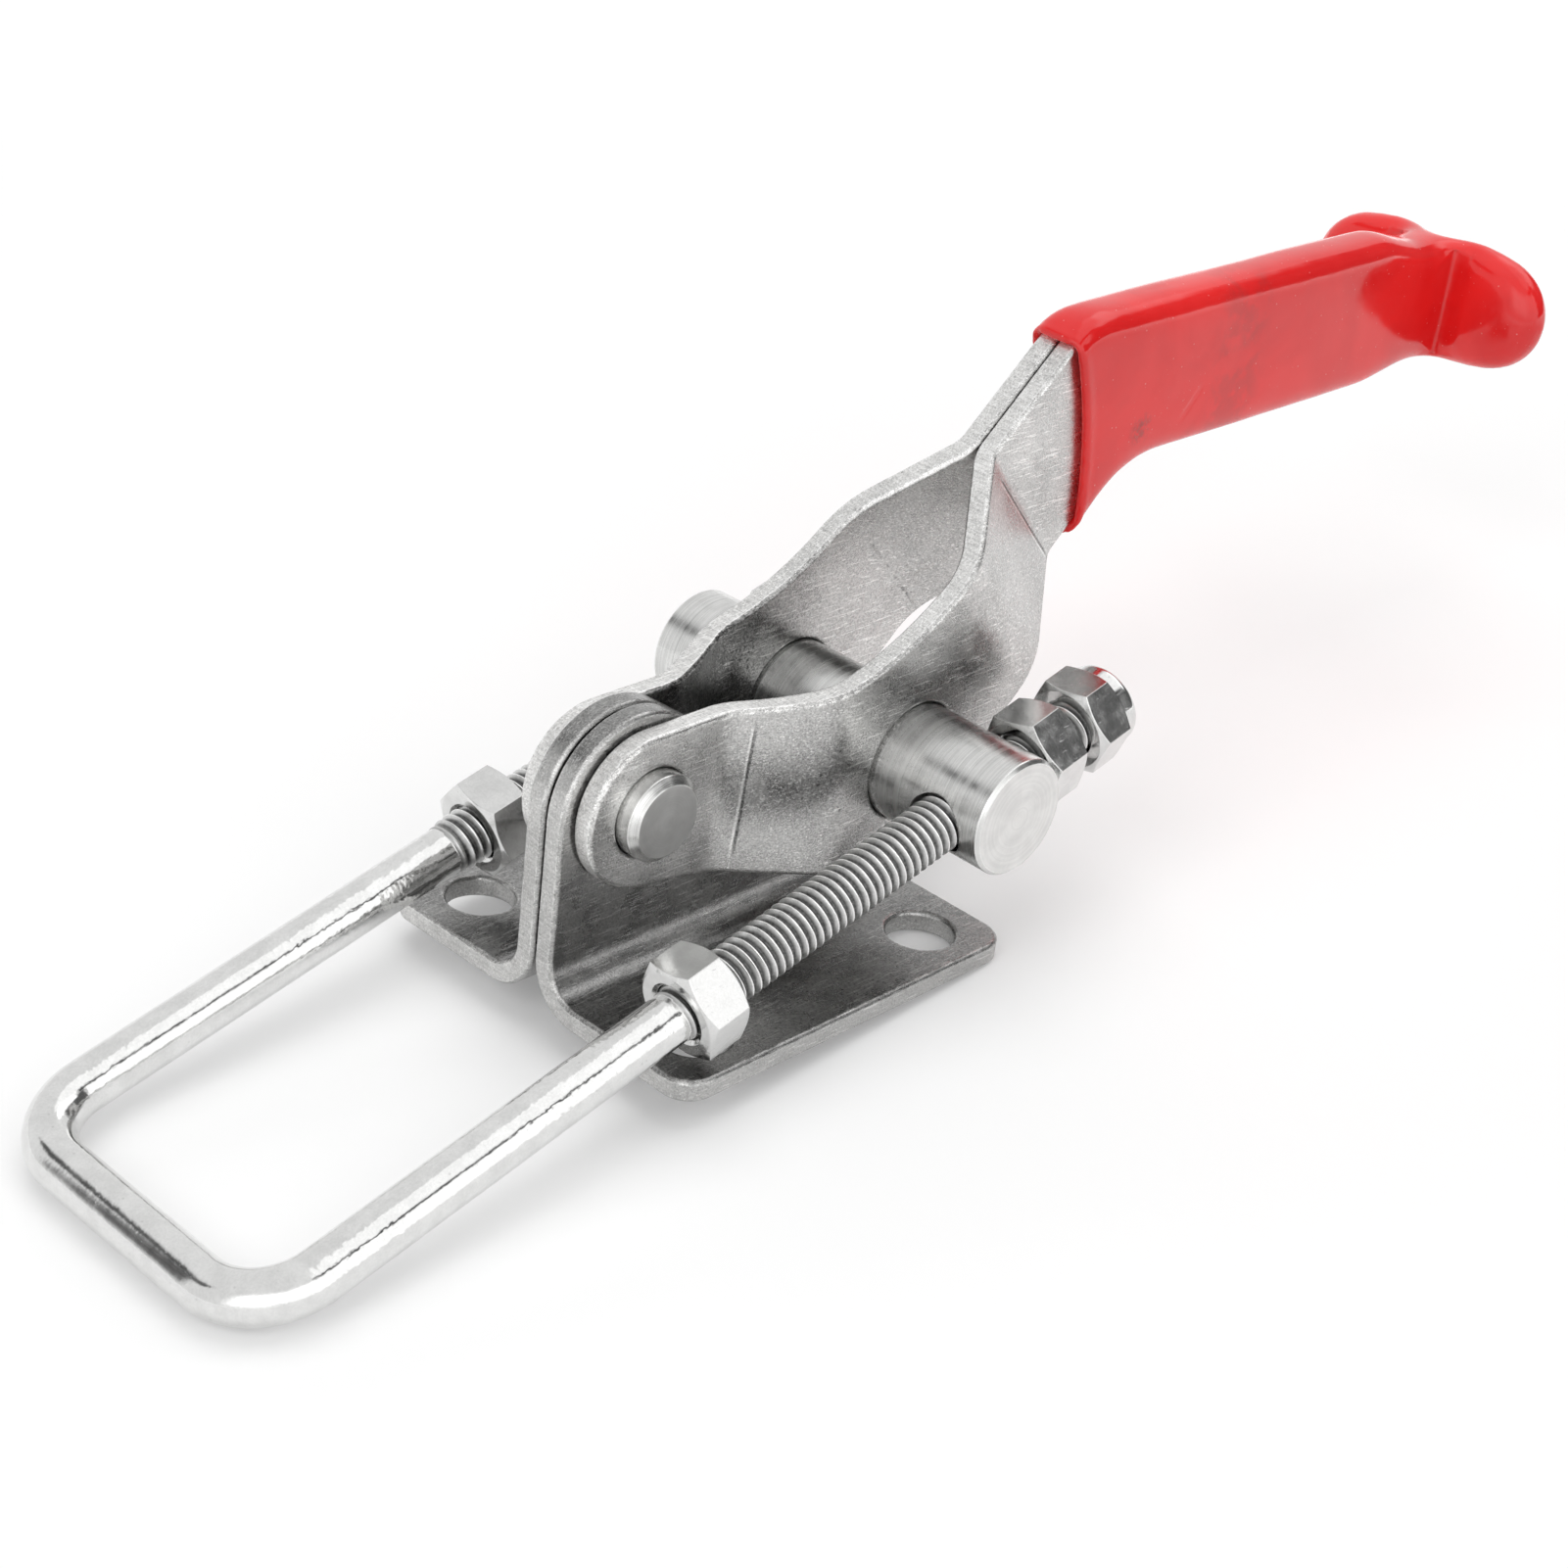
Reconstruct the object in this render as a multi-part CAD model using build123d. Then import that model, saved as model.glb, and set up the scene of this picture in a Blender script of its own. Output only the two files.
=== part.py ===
from build123d import *
from math import asin, atan2, cos, hypot, radians, sin, tan
import os

# Over centre toggle latch with an adjustable U-bolt, in millimetres.
# The origin is the centre of the four base holes, on the mounting face.
# X points from the U-bolt towards the grip, Y across the latch, Z up.
# Left is the -Y side and right the +Y side. The handle is closed.

# ---- Sheet metal, shared by the base plates and the handle plates ----
SHEET = 3.2
EDGE_BREAK = 0.4

# ---- Fits ----
SIDE_CLEARANCE = 0.1
RUNNING_FIT = 0.1
PRESS_FIT = 0.02

# ---- Base: two folded plates back to back ----
BASE_LENGTH = 62.6
BASE_WIDTH = 59.4
BASE_PARTING = 0.4
BASE_BEND_RADIUS = 4.8
FLANGE_CORNER_RADIUS = 4.5
HOLE_DIAMETER = 9.7
HOLE_TO_END = 9.4
HOLE_TO_SIDE = 8.6
BASE_LUG_RADIUS = 12.7
WEB_REAR_RADIUS = 2.5
CLOSED_STOP_GAP = 0.35

# ---- Pivot pin ----
PIVOT_HEIGHT = 28.2
PIN_DIAMETER = 12.3
PIN_STAND_OUT = 2.9
PIN_CHAMFER = 1.0

# ---- Handle plates in side view, measured from the pivot ----
HANDLE_LUG_RADIUS = 10.9
LOWER_EDGE_SLOPE = 9.5
LOWER_CORNER_X = 43.0
LOWER_CORNER_RADIUS = 8.0
LOWER_NECK_ANGLE = 42.5
LOWER_NECK_RADIUS = 22.0
UPPER_NECK_X = 36.9
UPPER_NECK_ANGLE = 41.5
UPPER_NECK_RADIUS = 52.0
ARM_BOTTOM_Z = 28.3
ARM_HEIGHT = 21.8
ARM_SHOULDER_RADIUS = 10.0
HANDLE_TIP_X = 178.1

# ---- Handle plates: press bends, measured from the pivot ----
SPREAD_START_X = 13.1
SPREAD_ANGLE = 24.8
SPREAD_INSIDE = 20.2
CLOSE_START = 54.6
CLOSE_DIRECTION = 40.5
CLOSE_ANGLE = 32.0
ARM_PARTING = 0.2
LUG_BEND_RADIUS = 8.0
WIDE_FRONT_BEND_RADIUS = 10.0
WIDE_REAR_BEND_RADIUS = 13.0
ARM_BEND_RADIUS = 4.0

# ---- T end of the handle ----
TIP_SPAN = 40.0
TIP_HEIGHT = 17.4
TIP_DROP = 0.5
TIP_LOBE_RADIUS = 8.0
TIP_BEND_RADIUS = 4.5
TIP_TAPER_LENGTH = 10.0

# ---- Vinyl grip ----
VINYL = 1.5
GRIP_EDGE_RADIUS = 3.0
GRIP_GROOVE_RADIUS = 2.0
GRIP_MOUTH_X = 84.0
GRIP_MOUTH_LEAN = 7.6

# ---- Trunnion bar, measured from the pivot ----
TRUNNION_X = 43.2
TRUNNION_DROP = 2.6
TRUNNION_DIAMETER = 17.0
TRUNNION_END = 7.8
TRUNNION_CHAMFER = 0.5
TRUNNION_SIDE_PLAY = 1.4

# ---- U-bolt, measured along its legs from the trunnion axis ----
UBOLT_TILT = 14.7
LEG_SPACING = 47.0
ROD_DIAMETER = 7.0
THREAD_DIAMETER = 7.94
CROSS_HOLE_CLEARANCE = 0.53
UBOLT_REACH = 122.6
UBOLT_BEND_RADIUS = 9.75
THREAD_FRONT = 57.0
THREAD_TAPER = 0.6
THREAD_POINT = 0.8

# ---- Nuts ----
NUT_FLATS = 12.7
NUT_HEIGHT = 6.75
NUT_CHAMFER = 0.75
NUT_BORE_CLEARANCE = 0.05
NUT_COUNTERSINK = 0.5
LOCK_NUT_HEIGHT = 8.7
LOCK_NUT_HEX_HEIGHT = 5.9
COLLAR_DIAMETER = 11.9
COLLAR_WALL = 1.0
COLLAR_CROWN_RADIUS = 1.2
COLLAR_LIP = 0.5
INSERT_CLEARANCE = 0.02
FRONT_NUT_SETBACK_LEFT = 49.4
FRONT_NUT_SETBACK_RIGHT = 42.9
FRONT_NUT_TURN_LEFT = 19.6
FRONT_NUT_TURN_RIGHT = 41.5
REAR_NUT_GAP = 0.3
REAR_NUT_TURN = 16.0
LOCK_NUT_GAP = 3.1
LOCK_NUT_TURN = 25.0

# ---- Worked out from the sizes above ----
pivot_x = BASE_LUG_RADIUS - BASE_LENGTH / 2
web_inner_y = BASE_PARTING / 2
web_outer_y = web_inner_y + SHEET
lug_inner_y = web_outer_y + SIDE_CLEARANCE
lug_mid_y = lug_inner_y + SHEET / 2
wide_mid_y = SPREAD_INSIDE / 2 + SHEET / 2
arm_mid_y = ARM_PARTING / 2 + SHEET / 2
arm_outer_y = arm_mid_y + SHEET / 2
arm_top_z = ARM_BOTTOM_Z + ARM_HEIGHT
tip_mid_z = ARM_BOTTOM_Z + ARM_HEIGHT / 2 - TIP_DROP
tip_shoulder_x = HANDLE_TIP_X - SHEET - 2 * TIP_BEND_RADIUS
tip_fold_y = arm_outer_y + TIP_BEND_RADIUS
tip_seam_y = tip_fold_y + VINYL / 3
tip_root_y = tip_seam_y + VINYL / 3
pin_half_length = lug_inner_y + SHEET + PIN_STAND_OUT
trunnion_length = LEG_SPACING + 2 * TRUNNION_END
grip_half = arm_outer_y + VINYL
grip_front_x = HANDLE_TIP_X - SHEET - VINYL
grip_rear_x = HANDLE_TIP_X + VINYL
grip_span = TIP_SPAN + 2 * VINYL
grip_tip_height = TIP_HEIGHT + 2 * VINYL
grip_crook_radius = TIP_BEND_RADIUS - VINYL
grip_fold_radius = TIP_BEND_RADIUS + SHEET + VINYL
rear_nut_face = TRUNNION_DIAMETER / 2 + REAR_NUT_GAP
lock_nut_face = rear_nut_face + NUT_HEIGHT + LOCK_NUT_GAP
thread_rear = lock_nut_face + LOCK_NUT_HEIGHT + THREAD_POINT
insert_radius = COLLAR_DIAMETER / 2 - COLLAR_WALL
insert_height = LOCK_NUT_HEIGHT - LOCK_NUT_HEX_HEIGHT - COLLAR_LIP
at_pivot = Pos(pivot_x, 0, PIVOT_HEIGHT)


def slope(angle):
    """Rise over run of a line at this many degrees."""
    return tan(radians(angle))


def bent_strip(path_points, *inner_radii):
    """Section of a folded sheet whose middle line runs through the points."""
    middle = FilletPolyline(*path_points, radius=[radius + SHEET / 2 for radius in inner_radii])
    return trace(middle, line_width=SHEET)


def upright(radius, height):
    """Cylinder that stands on the XY plane."""
    return Cylinder(radius, height, align=(Align.CENTER, Align.CENTER, Align.MIN))


def cross_rod(x, z, diameter):
    """Round cutter along Y that passes through the whole latch."""
    return Pos(x, 0, z) * Rot(90, 0, 0) * Cylinder(diameter / 2, 4 * BASE_WIDTH)


def corner_radius(outline, corner, radius):
    """Outline with its vertex nearest to the corner rounded."""
    vertex = outline.vertices().sort_by_distance(Vector(*corner))[0]
    return fillet(vertex, radius)


# ---- Base plate ----
def web_rear_height():
    """Height at the rear of the edge that the closed trunnion bar comes to rest over."""
    spacing = hypot(TRUNNION_X, TRUNNION_DROP)
    lean = asin((BASE_LUG_RADIUS + TRUNNION_DIAMETER / 2 + CLOSED_STOP_GAP) / spacing)
    lean += atan2(TRUNNION_DROP, TRUNNION_X)
    edge_over_pivot = BASE_LUG_RADIUS / cos(lean)
    return PIVOT_HEIGHT + edge_over_pivot - (BASE_LENGTH / 2 - pivot_x) * tan(lean)


def web_outline():
    """Side view of a base plate: a lug about the pin, running down to the rear."""
    rear_height = web_rear_height()
    lug = Pos(pivot_x, PIVOT_HEIGHT) * Circle(BASE_LUG_RADIUS)
    foot = Pos(0, rear_height / 2) * Rectangle(BASE_LENGTH, rear_height)
    outline = make_hull(lug.edges() + foot.edges())
    return corner_radius(outline, (BASE_LENGTH / 2, rear_height), WEB_REAR_RADIUS)


def base_plate():
    """Right hand plate: web up the middle, flange out to the side."""
    web_mid_y = web_inner_y + SHEET / 2
    web_top_z = PIVOT_HEIGHT + 2 * BASE_LUG_RADIUS
    path = [(web_mid_y, web_top_z), (web_mid_y, SHEET / 2), (BASE_WIDTH / 2, SHEET / 2)]
    blank = extrude(Plane.YZ * bent_strip(path, BASE_BEND_RADIUS), BASE_LENGTH / 2, both=True)
    plate = blank & extrude(Plane.XZ * web_outline(), BASE_WIDTH, both=True)
    outer_corners = plate.edges().filter_by(Axis.Z).group_by(Axis.Y)[-1]
    plate = fillet(outer_corners, FLANGE_CORNER_RADIUS)
    plate -= cross_rod(pivot_x, PIVOT_HEIGHT, PIN_DIAMETER + 2 * PRESS_FIT)
    hole_x = BASE_LENGTH / 2 - HOLE_TO_END
    hole_y = BASE_WIDTH / 2 - HOLE_TO_SIDE
    for x in (-hole_x, hole_x):
        plate -= Pos(x, hole_y) * Cylinder(HOLE_DIAMETER / 2, 4 * SHEET)
    return chamfer(plate.edges(), EDGE_BREAK)


# ---- Pivot pin ----
def pivot_pin():
    """Plain turned pin with a chamfer at each end."""
    pin = Cylinder(PIN_DIAMETER / 2, 2 * pin_half_length)
    pin = chamfer(pin.edges().filter_by(GeomType.CIRCLE), PIN_CHAMFER)
    return at_pivot * Rot(90, 0, 0) * pin


# ---- Handle plate, with the pivot axis through its origin ----
def handle_outline():
    """Side view of the whole handle plate, lug to tip."""
    dip = radians(LOWER_EDGE_SLOPE)
    tangent_x = -HANDLE_LUG_RADIUS * sin(dip)
    tangent_z = -HANDLE_LUG_RADIUS * cos(dip)
    lower_corner_z = tangent_z - (LOWER_CORNER_X - tangent_x) * tan(dip)
    lower_neck_x = LOWER_CORNER_X + (ARM_BOTTOM_Z - lower_corner_z) / slope(LOWER_NECK_ANGLE)
    shoulder_x = UPPER_NECK_X + (arm_top_z - HANDLE_LUG_RADIUS) / slope(UPPER_NECK_ANGLE)
    taper_x = tip_shoulder_x - TIP_TAPER_LENGTH
    tip_top_z = tip_mid_z + TIP_HEIGHT / 2
    tip_bottom_z = tip_mid_z - TIP_HEIGHT / 2
    corners = [
        (0, HANDLE_LUG_RADIUS),
        (UPPER_NECK_X, HANDLE_LUG_RADIUS),
        (shoulder_x, arm_top_z),
        (taper_x, arm_top_z),
        (tip_shoulder_x, tip_top_z),
        (HANDLE_TIP_X, tip_top_z),
        (HANDLE_TIP_X, tip_bottom_z),
        (tip_shoulder_x, tip_bottom_z),
        (taper_x, ARM_BOTTOM_Z),
        (lower_neck_x, ARM_BOTTOM_Z),
        (LOWER_CORNER_X, lower_corner_z),
        (tangent_x, tangent_z),
    ]
    outline = make_face(Polyline(*corners, close=True))
    rounded = [
        (corners[1], UPPER_NECK_RADIUS),
        (corners[2], ARM_SHOULDER_RADIUS),
        (corners[9], LOWER_NECK_RADIUS),
        (corners[10], LOWER_CORNER_RADIUS),
    ]
    for corner, radius in rounded:
        outline = corner_radius(outline, corner, radius)
    return outline + Circle(HANDLE_LUG_RADIUS)


def spread_section():
    """Plan section of the front half: beside the base lug, then out round the trunnion."""
    spread_end_x = SPREAD_START_X + (wide_mid_y - lug_mid_y) / slope(SPREAD_ANGLE)
    path = [
        (-2 * HANDLE_LUG_RADIUS, lug_mid_y),
        (SPREAD_START_X, lug_mid_y),
        (spread_end_x, wide_mid_y),
        (HANDLE_TIP_X, wide_mid_y),
    ]
    return bent_strip(path, LUG_BEND_RADIUS, WIDE_FRONT_BEND_RADIUS)


def close_section(front_seam, rear_seam):
    """Section along the neck, where the two plates come back together."""
    close_end = CLOSE_START + (wide_mid_y - arm_mid_y) / slope(CLOSE_ANGLE)
    path = [
        (front_seam, wide_mid_y),
        (CLOSE_START, wide_mid_y),
        (close_end, arm_mid_y),
        (rear_seam, arm_mid_y),
    ]
    return bent_strip(path, WIDE_REAR_BEND_RADIUS, ARM_BEND_RADIUS)


def tip_section():
    """Plan section of the rear half: straight arm, then folded out into the T end."""
    tip_mid_x = HANDLE_TIP_X - SHEET / 2
    path = [(0, arm_mid_y), (tip_mid_x, arm_mid_y), (tip_mid_x, TIP_SPAN / 2)]
    return bent_strip(path, TIP_BEND_RADIUS)


def tip_outline(skin):
    """End view of the T: tall between the folds, running down to a round lobe at each end."""
    edges = Rectangle(2 * tip_root_y, TIP_HEIGHT + 2 * skin).edges()
    lobe_y = TIP_SPAN / 2 - TIP_LOBE_RADIUS
    for y in (-lobe_y, lobe_y):
        edges += (Pos(y, 0) * Circle(TIP_LOBE_RADIUS + skin)).edges()
    return make_hull(edges)


def neck_frame(distance, normal_to_neck):
    """Plane at this distance along the closing direction, square to it or along it."""
    lean = radians(CLOSE_DIRECTION)
    along = Vector(cos(lean), 0, sin(lean))
    if normal_to_neck:
        return Plane(along * distance, x_dir=(0, 1, 0), z_dir=along)
    return Plane(along * distance, x_dir=along, z_dir=(-sin(lean), 0, cos(lean)))


def handle_blank():
    """Right hand plate as pressed: bent sheet trimmed to its outline, no holes yet."""
    reach = 2 * HANDLE_TIP_X
    front_seam = CLOSE_START - (WIDE_REAR_BEND_RADIUS + SHEET) * slope(CLOSE_ANGLE / 2) - SHEET
    rear_seam = CLOSE_START + SPREAD_INSIDE + 2 * ARM_BEND_RADIUS
    front = Pos(0, 0, -reach) * extrude(spread_section(), 2 * reach)
    front = split(front, bisect_by=neck_frame(front_seam, True), keep=Keep.BOTTOM)
    neck = extrude(neck_frame(0, False) * close_section(front_seam, rear_seam), reach, both=True)
    rear = Pos(0, 0, -reach) * extrude(tip_section(), 2 * reach)
    rear = split(rear, bisect_by=neck_frame(rear_seam, True), keep=Keep.TOP)
    end_view = tip_outline(0) + Rectangle(2 * arm_outer_y, reach)
    rear &= extrude(Plane.YZ * Pos(0, tip_mid_z) * end_view, reach)
    return (front + neck + rear) & extrude(Plane.XZ * handle_outline(), BASE_WIDTH, both=True)


def handle_plate():
    """Right hand handle plate with its two bores and tumbled edges."""
    plate = handle_blank()
    plate -= cross_rod(0, 0, PIN_DIAMETER + 2 * RUNNING_FIT)
    plate -= cross_rod(TRUNNION_X, -TRUNNION_DROP, TRUNNION_DIAMETER + 2 * RUNNING_FIT)
    return chamfer(plate.edges(), EDGE_BREAK)


# ---- Vinyl grip ----
def folded_edges(solid):
    """Edges where two faces meet at a real corner and not as a smooth run."""
    corners = []
    for edge in solid.edges():
        sides = [face for face in solid.faces() if any(edge.is_same(other) for other in face.edges())]
        middle = edge @ 0.5
        if len(sides) == 2 and sides[0].normal_at(middle).get_angle(sides[1].normal_at(middle)) > 20:
            corners.append(edge)
    return ShapeList(corners)


def grip_side_outline():
    """Side view of the sleeve, from its curved mouth to the back of the T end."""
    far = 2 * HANDLE_TIP_X
    mouth_low = (GRIP_MOUTH_X, ARM_BOTTOM_Z - ARM_HEIGHT / 2)
    mouth_high = (GRIP_MOUTH_X - GRIP_MOUTH_LEAN, arm_top_z)
    mouth = TangentArc(mouth_low, mouth_high, tangent=(0, 1))
    behind = [(mouth_high[0], far), (far, far), (far, -far), (mouth_low[0], -far)]
    rest = Polyline(mouth_high, *behind, mouth_low)
    skin = offset(handle_outline(), amount=VINYL, kind=Kind.INTERSECTION) & make_face(mouth + rest)
    tip_mid_x = (grip_front_x + grip_rear_x) / 2
    return skin + Pos(tip_mid_x, tip_mid_z) * Rectangle(grip_rear_x - grip_front_x, grip_tip_height)


def grip_plan():
    """Plan of the sleeve and the root of the T: round crooks in front, a groove behind."""
    right = [
        (GRIP_MOUTH_X / 2, grip_half),
        (grip_front_x, grip_half),
        (grip_front_x, tip_seam_y),
        (grip_rear_x, tip_seam_y),
    ]
    left = [(x, -y) for x, y in reversed(right)]
    plan = make_face(Polyline(*right, *left, close=True))
    for side in (-1, 1):
        plan = corner_radius(plan, (grip_front_x, side * grip_half), grip_crook_radius)
    groove = Pos(grip_rear_x, 0) * Rectangle(2 * grip_fold_radius, 2 * tip_fold_y)
    for side in (-1, 1):
        groove -= Pos(grip_rear_x - grip_fold_radius, side * tip_fold_y) * Circle(grip_fold_radius)
    groove = corner_radius(groove, (grip_front_x, 0), GRIP_GROOVE_RADIUS)
    return plan - groove


def grip():
    """Dipped vinyl skin over both arms and the T end, hollow where the plates are."""
    sleeve = extrude(grip_plan(), 2 * arm_top_z, both=True)
    sleeve &= extrude(Plane.XZ * grip_side_outline(), BASE_WIDTH, both=True)
    outside = folded_edges(sleeve).filter_by(
        lambda edge: edge.bounding_box().max.X > GRIP_MOUTH_X + VINYL / 10
        and abs(abs(edge.center().Y) - tip_seam_y) > VINYL / 10
    )
    sleeve = fillet(outside, GRIP_EDGE_RADIUS)
    tip_front = Plane((grip_front_x, 0, tip_mid_z), x_dir=(0, 1, 0), z_dir=(1, 0, 0))
    lobes = extrude(tip_front * tip_outline(VINYL), grip_rear_x - grip_front_x)
    lobes = fillet(folded_edges(lobes), GRIP_EDGE_RADIUS)
    lobes -= Pos(grip_front_x, 0, tip_mid_z) * Box(TIP_SPAN, 2 * tip_seam_y, TIP_SPAN)
    core = extrude(Plane.XZ * handle_outline(), arm_outer_y, both=True)
    core = split(core, bisect_by=tip_front, keep=Keep.BOTTOM)
    blank = handle_blank()
    return sleeve + lobes - core - blank - blank.mirror(Plane.XZ)


# ---- Trunnion bar and U-bolt ----
def leg_plane(distance, y, turn=0.0):
    """Plane square to a leg, this far behind the trunnion axis, turned about the leg."""
    tilt = radians(UBOLT_TILT)
    along = Vector(cos(tilt), 0, sin(tilt))
    up = Vector(-sin(tilt), 0, cos(tilt))
    axis = Vector(pivot_x + TRUNNION_X, y - TRUNNION_SIDE_PLAY, PIVOT_HEIGHT - TRUNNION_DROP)
    return Plane(axis + along * distance, x_dir=up, z_dir=along) * Rot(0, 0, turn)


def trunnion_bar():
    """Turned bar with one clearance hole for each leg."""
    bar = Cylinder(TRUNNION_DIAMETER / 2, trunnion_length)
    bar = chamfer(bar.edges().filter_by(GeomType.CIRCLE), TRUNNION_CHAMFER)
    bar = at_pivot * Pos(TRUNNION_X, -TRUNNION_SIDE_PLAY, -TRUNNION_DROP) * Rot(90, 0, 0) * bar
    hole_radius = THREAD_DIAMETER / 2 + CROSS_HOLE_CLEARANCE
    for leg_y in (-LEG_SPACING / 2, LEG_SPACING / 2):
        bar -= leg_plane(0, leg_y) * Cylinder(hole_radius, 2 * TRUNNION_DIAMETER)
    return bar


def u_bolt():
    """Bent rod: squared loop in front, full diameter thread on both legs."""
    across = Plane(leg_plane(0, 0))
    loop_plane = Plane(across.origin, x_dir=across.z_dir, z_dir=across.x_dir)
    half = LEG_SPACING / 2
    corners = [(-THREAD_FRONT, -half), (-UBOLT_REACH, -half), (-UBOLT_REACH, half), (-THREAD_FRONT, half)]
    loop = loop_plane * FilletPolyline(*corners, radius=UBOLT_BEND_RADIUS)
    bolt = sweep(Plane(loop @ 0, z_dir=loop % 0) * Circle(ROD_DIAMETER / 2), path=loop)
    thread = upright(THREAD_DIAMETER / 2, THREAD_FRONT + thread_rear)
    thread = chamfer(thread.edges().filter_by(GeomType.CIRCLE), THREAD_TAPER)
    for leg_y in (-half, half):
        bolt += leg_plane(-THREAD_FRONT, leg_y) * thread
    return bolt


# ---- Nuts, modelled along Z with the front face on the XY plane ----
def hexagon(height):
    """Hexagonal prism with both faces turned down at the corners."""
    corner = NUT_FLATS / 2 / cos(radians(30))
    face = corner - NUT_CHAMFER / slope(30)
    half_profile = [
        (0, 0),
        (face, 0),
        (corner, NUT_CHAMFER),
        (corner, height - NUT_CHAMFER),
        (face, height),
        (0, height),
    ]
    turned = revolve(Plane.XZ * make_face(Polyline(*half_profile, close=True)), Axis.Z)
    return extrude(RegularPolygon(corner, 6), height) & turned


def tapped(nut):
    """Nut with a thread sized bore, countersunk at both ends."""
    bore = THREAD_DIAMETER / 2 + NUT_BORE_CLEARANCE
    nut -= Cylinder(bore, 4 * LOCK_NUT_HEIGHT)
    rims = nut.edges().filter_by(GeomType.CIRCLE).filter_by(lambda edge: abs(edge.radius - bore) < 0.01)
    return chamfer(rims, NUT_COUNTERSINK)


def plain_nut():
    """Plain hexagon nut."""
    return tapped(hexagon(NUT_HEIGHT))


def lock_nut():
    """Hexagon nut with a domed collar that holds a nylon ring under its lip."""
    collar = upright(COLLAR_DIAMETER / 2, LOCK_NUT_HEIGHT)
    collar = fillet(collar.edges().sort_by(Axis.Z)[-1], COLLAR_CROWN_RADIUS)
    nut = tapped(hexagon(LOCK_NUT_HEX_HEIGHT) + collar)
    nut -= Pos(0, 0, LOCK_NUT_HEIGHT) * Cylinder(insert_radius - COLLAR_LIP, 2 * COLLAR_LIP)
    return nut - Pos(0, 0, LOCK_NUT_HEX_HEIGHT) * upright(insert_radius, insert_height)


def lock_nut_insert():
    """Nylon ring that sits in the collar."""
    ring = upright(insert_radius - INSERT_CLEARANCE, insert_height - 2 * INSERT_CLEARANCE)
    ring -= Cylinder(THREAD_DIAMETER / 2 + NUT_BORE_CLEARANCE, 4 * LOCK_NUT_HEIGHT)
    return Pos(0, 0, LOCK_NUT_HEX_HEIGHT + INSERT_CLEARANCE) * ring


# ---- The whole latch, one named node for each piece ----
nodes = {
    "pivot_pin": pivot_pin(),
    "grip": at_pivot * grip(),
    "trunnion_bar": trunnion_bar(),
    "u_bolt": u_bolt(),
}
right_base_plate = base_plate()
right_handle_plate = at_pivot * handle_plate()
nodes["base_plate_right"] = right_base_plate
nodes["base_plate_left"] = right_base_plate.mirror(Plane.XZ)
nodes["handle_plate_right"] = right_handle_plate
nodes["handle_plate_left"] = right_handle_plate.mirror(Plane.XZ)

front_nuts = {
    "left": (FRONT_NUT_SETBACK_LEFT, FRONT_NUT_TURN_LEFT),
    "right": (FRONT_NUT_SETBACK_RIGHT, FRONT_NUT_TURN_RIGHT),
}
for side, leg_y in (("left", -LEG_SPACING / 2), ("right", LEG_SPACING / 2)):
    setback, front_turn = front_nuts[side]
    nodes[f"front_nut_{side}"] = leg_plane(-setback - NUT_HEIGHT, leg_y, front_turn) * plain_nut()
    nodes[f"rear_nut_{side}"] = leg_plane(rear_nut_face, leg_y, REAR_NUT_TURN) * plain_nut()
    nodes[f"lock_nut_{side}"] = leg_plane(lock_nut_face, leg_y, LOCK_NUT_TURN) * lock_nut()
    nodes[f"lock_nut_insert_{side}"] = leg_plane(lock_nut_face, leg_y, LOCK_NUT_TURN) * lock_nut_insert()

os.makedirs("parts", exist_ok=True)
for name, shape in nodes.items():
    export_step(shape, f"parts/{name}.step")
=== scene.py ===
"""Looks of the over centre toggle latch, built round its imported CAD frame."""

import math

import bmesh
import bpy
from mathutils import Matrix, Vector, noise
from mathutils.bvhtree import BVHTree


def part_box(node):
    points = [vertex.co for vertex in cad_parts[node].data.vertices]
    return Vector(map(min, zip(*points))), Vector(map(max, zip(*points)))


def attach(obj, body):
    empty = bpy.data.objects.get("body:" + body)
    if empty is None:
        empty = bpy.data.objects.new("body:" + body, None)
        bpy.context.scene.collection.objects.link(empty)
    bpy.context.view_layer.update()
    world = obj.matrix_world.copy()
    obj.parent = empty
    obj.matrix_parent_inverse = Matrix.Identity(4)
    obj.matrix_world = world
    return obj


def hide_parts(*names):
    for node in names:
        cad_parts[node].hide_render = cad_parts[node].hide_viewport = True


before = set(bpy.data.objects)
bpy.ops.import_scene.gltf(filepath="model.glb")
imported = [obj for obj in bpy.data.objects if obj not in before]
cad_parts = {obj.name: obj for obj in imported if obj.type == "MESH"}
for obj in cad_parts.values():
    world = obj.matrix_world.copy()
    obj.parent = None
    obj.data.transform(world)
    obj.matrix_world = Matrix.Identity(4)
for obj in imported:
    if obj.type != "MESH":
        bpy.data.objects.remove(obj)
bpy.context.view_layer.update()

MM = 0.001

# ---- Sizes shared with the CAD source, in millimetres ----
PIVOT = Vector((-18.6, 0.0, 28.2))
TRUNNION_AXIS = Vector((24.6, -1.4, 25.6))
UBOLT_TILT = math.radians(14.7)
LEG_SPACING = 47.0
ROD_RADIUS = 3.5
UBOLT_REACH = 122.6
UBOLT_BEND_RADIUS = 9.75
THREAD_RADIUS = 3.97
THREAD_PITCH = 1.411
THREAD_REAR = 28.15
THREAD_FRONT = {"left": 57.0, "right": 54.6}

ALONG_LEG = Vector((math.cos(UBOLT_TILT), 0, math.sin(UBOLT_TILT)))
ABOVE_LEG = Vector((-math.sin(UBOLT_TILT), 0, math.cos(UBOLT_TILT)))


# ---- Small helpers ----
def clamped(value, low=0.0, high=1.0):
    return min(max(value, low), high)


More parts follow.
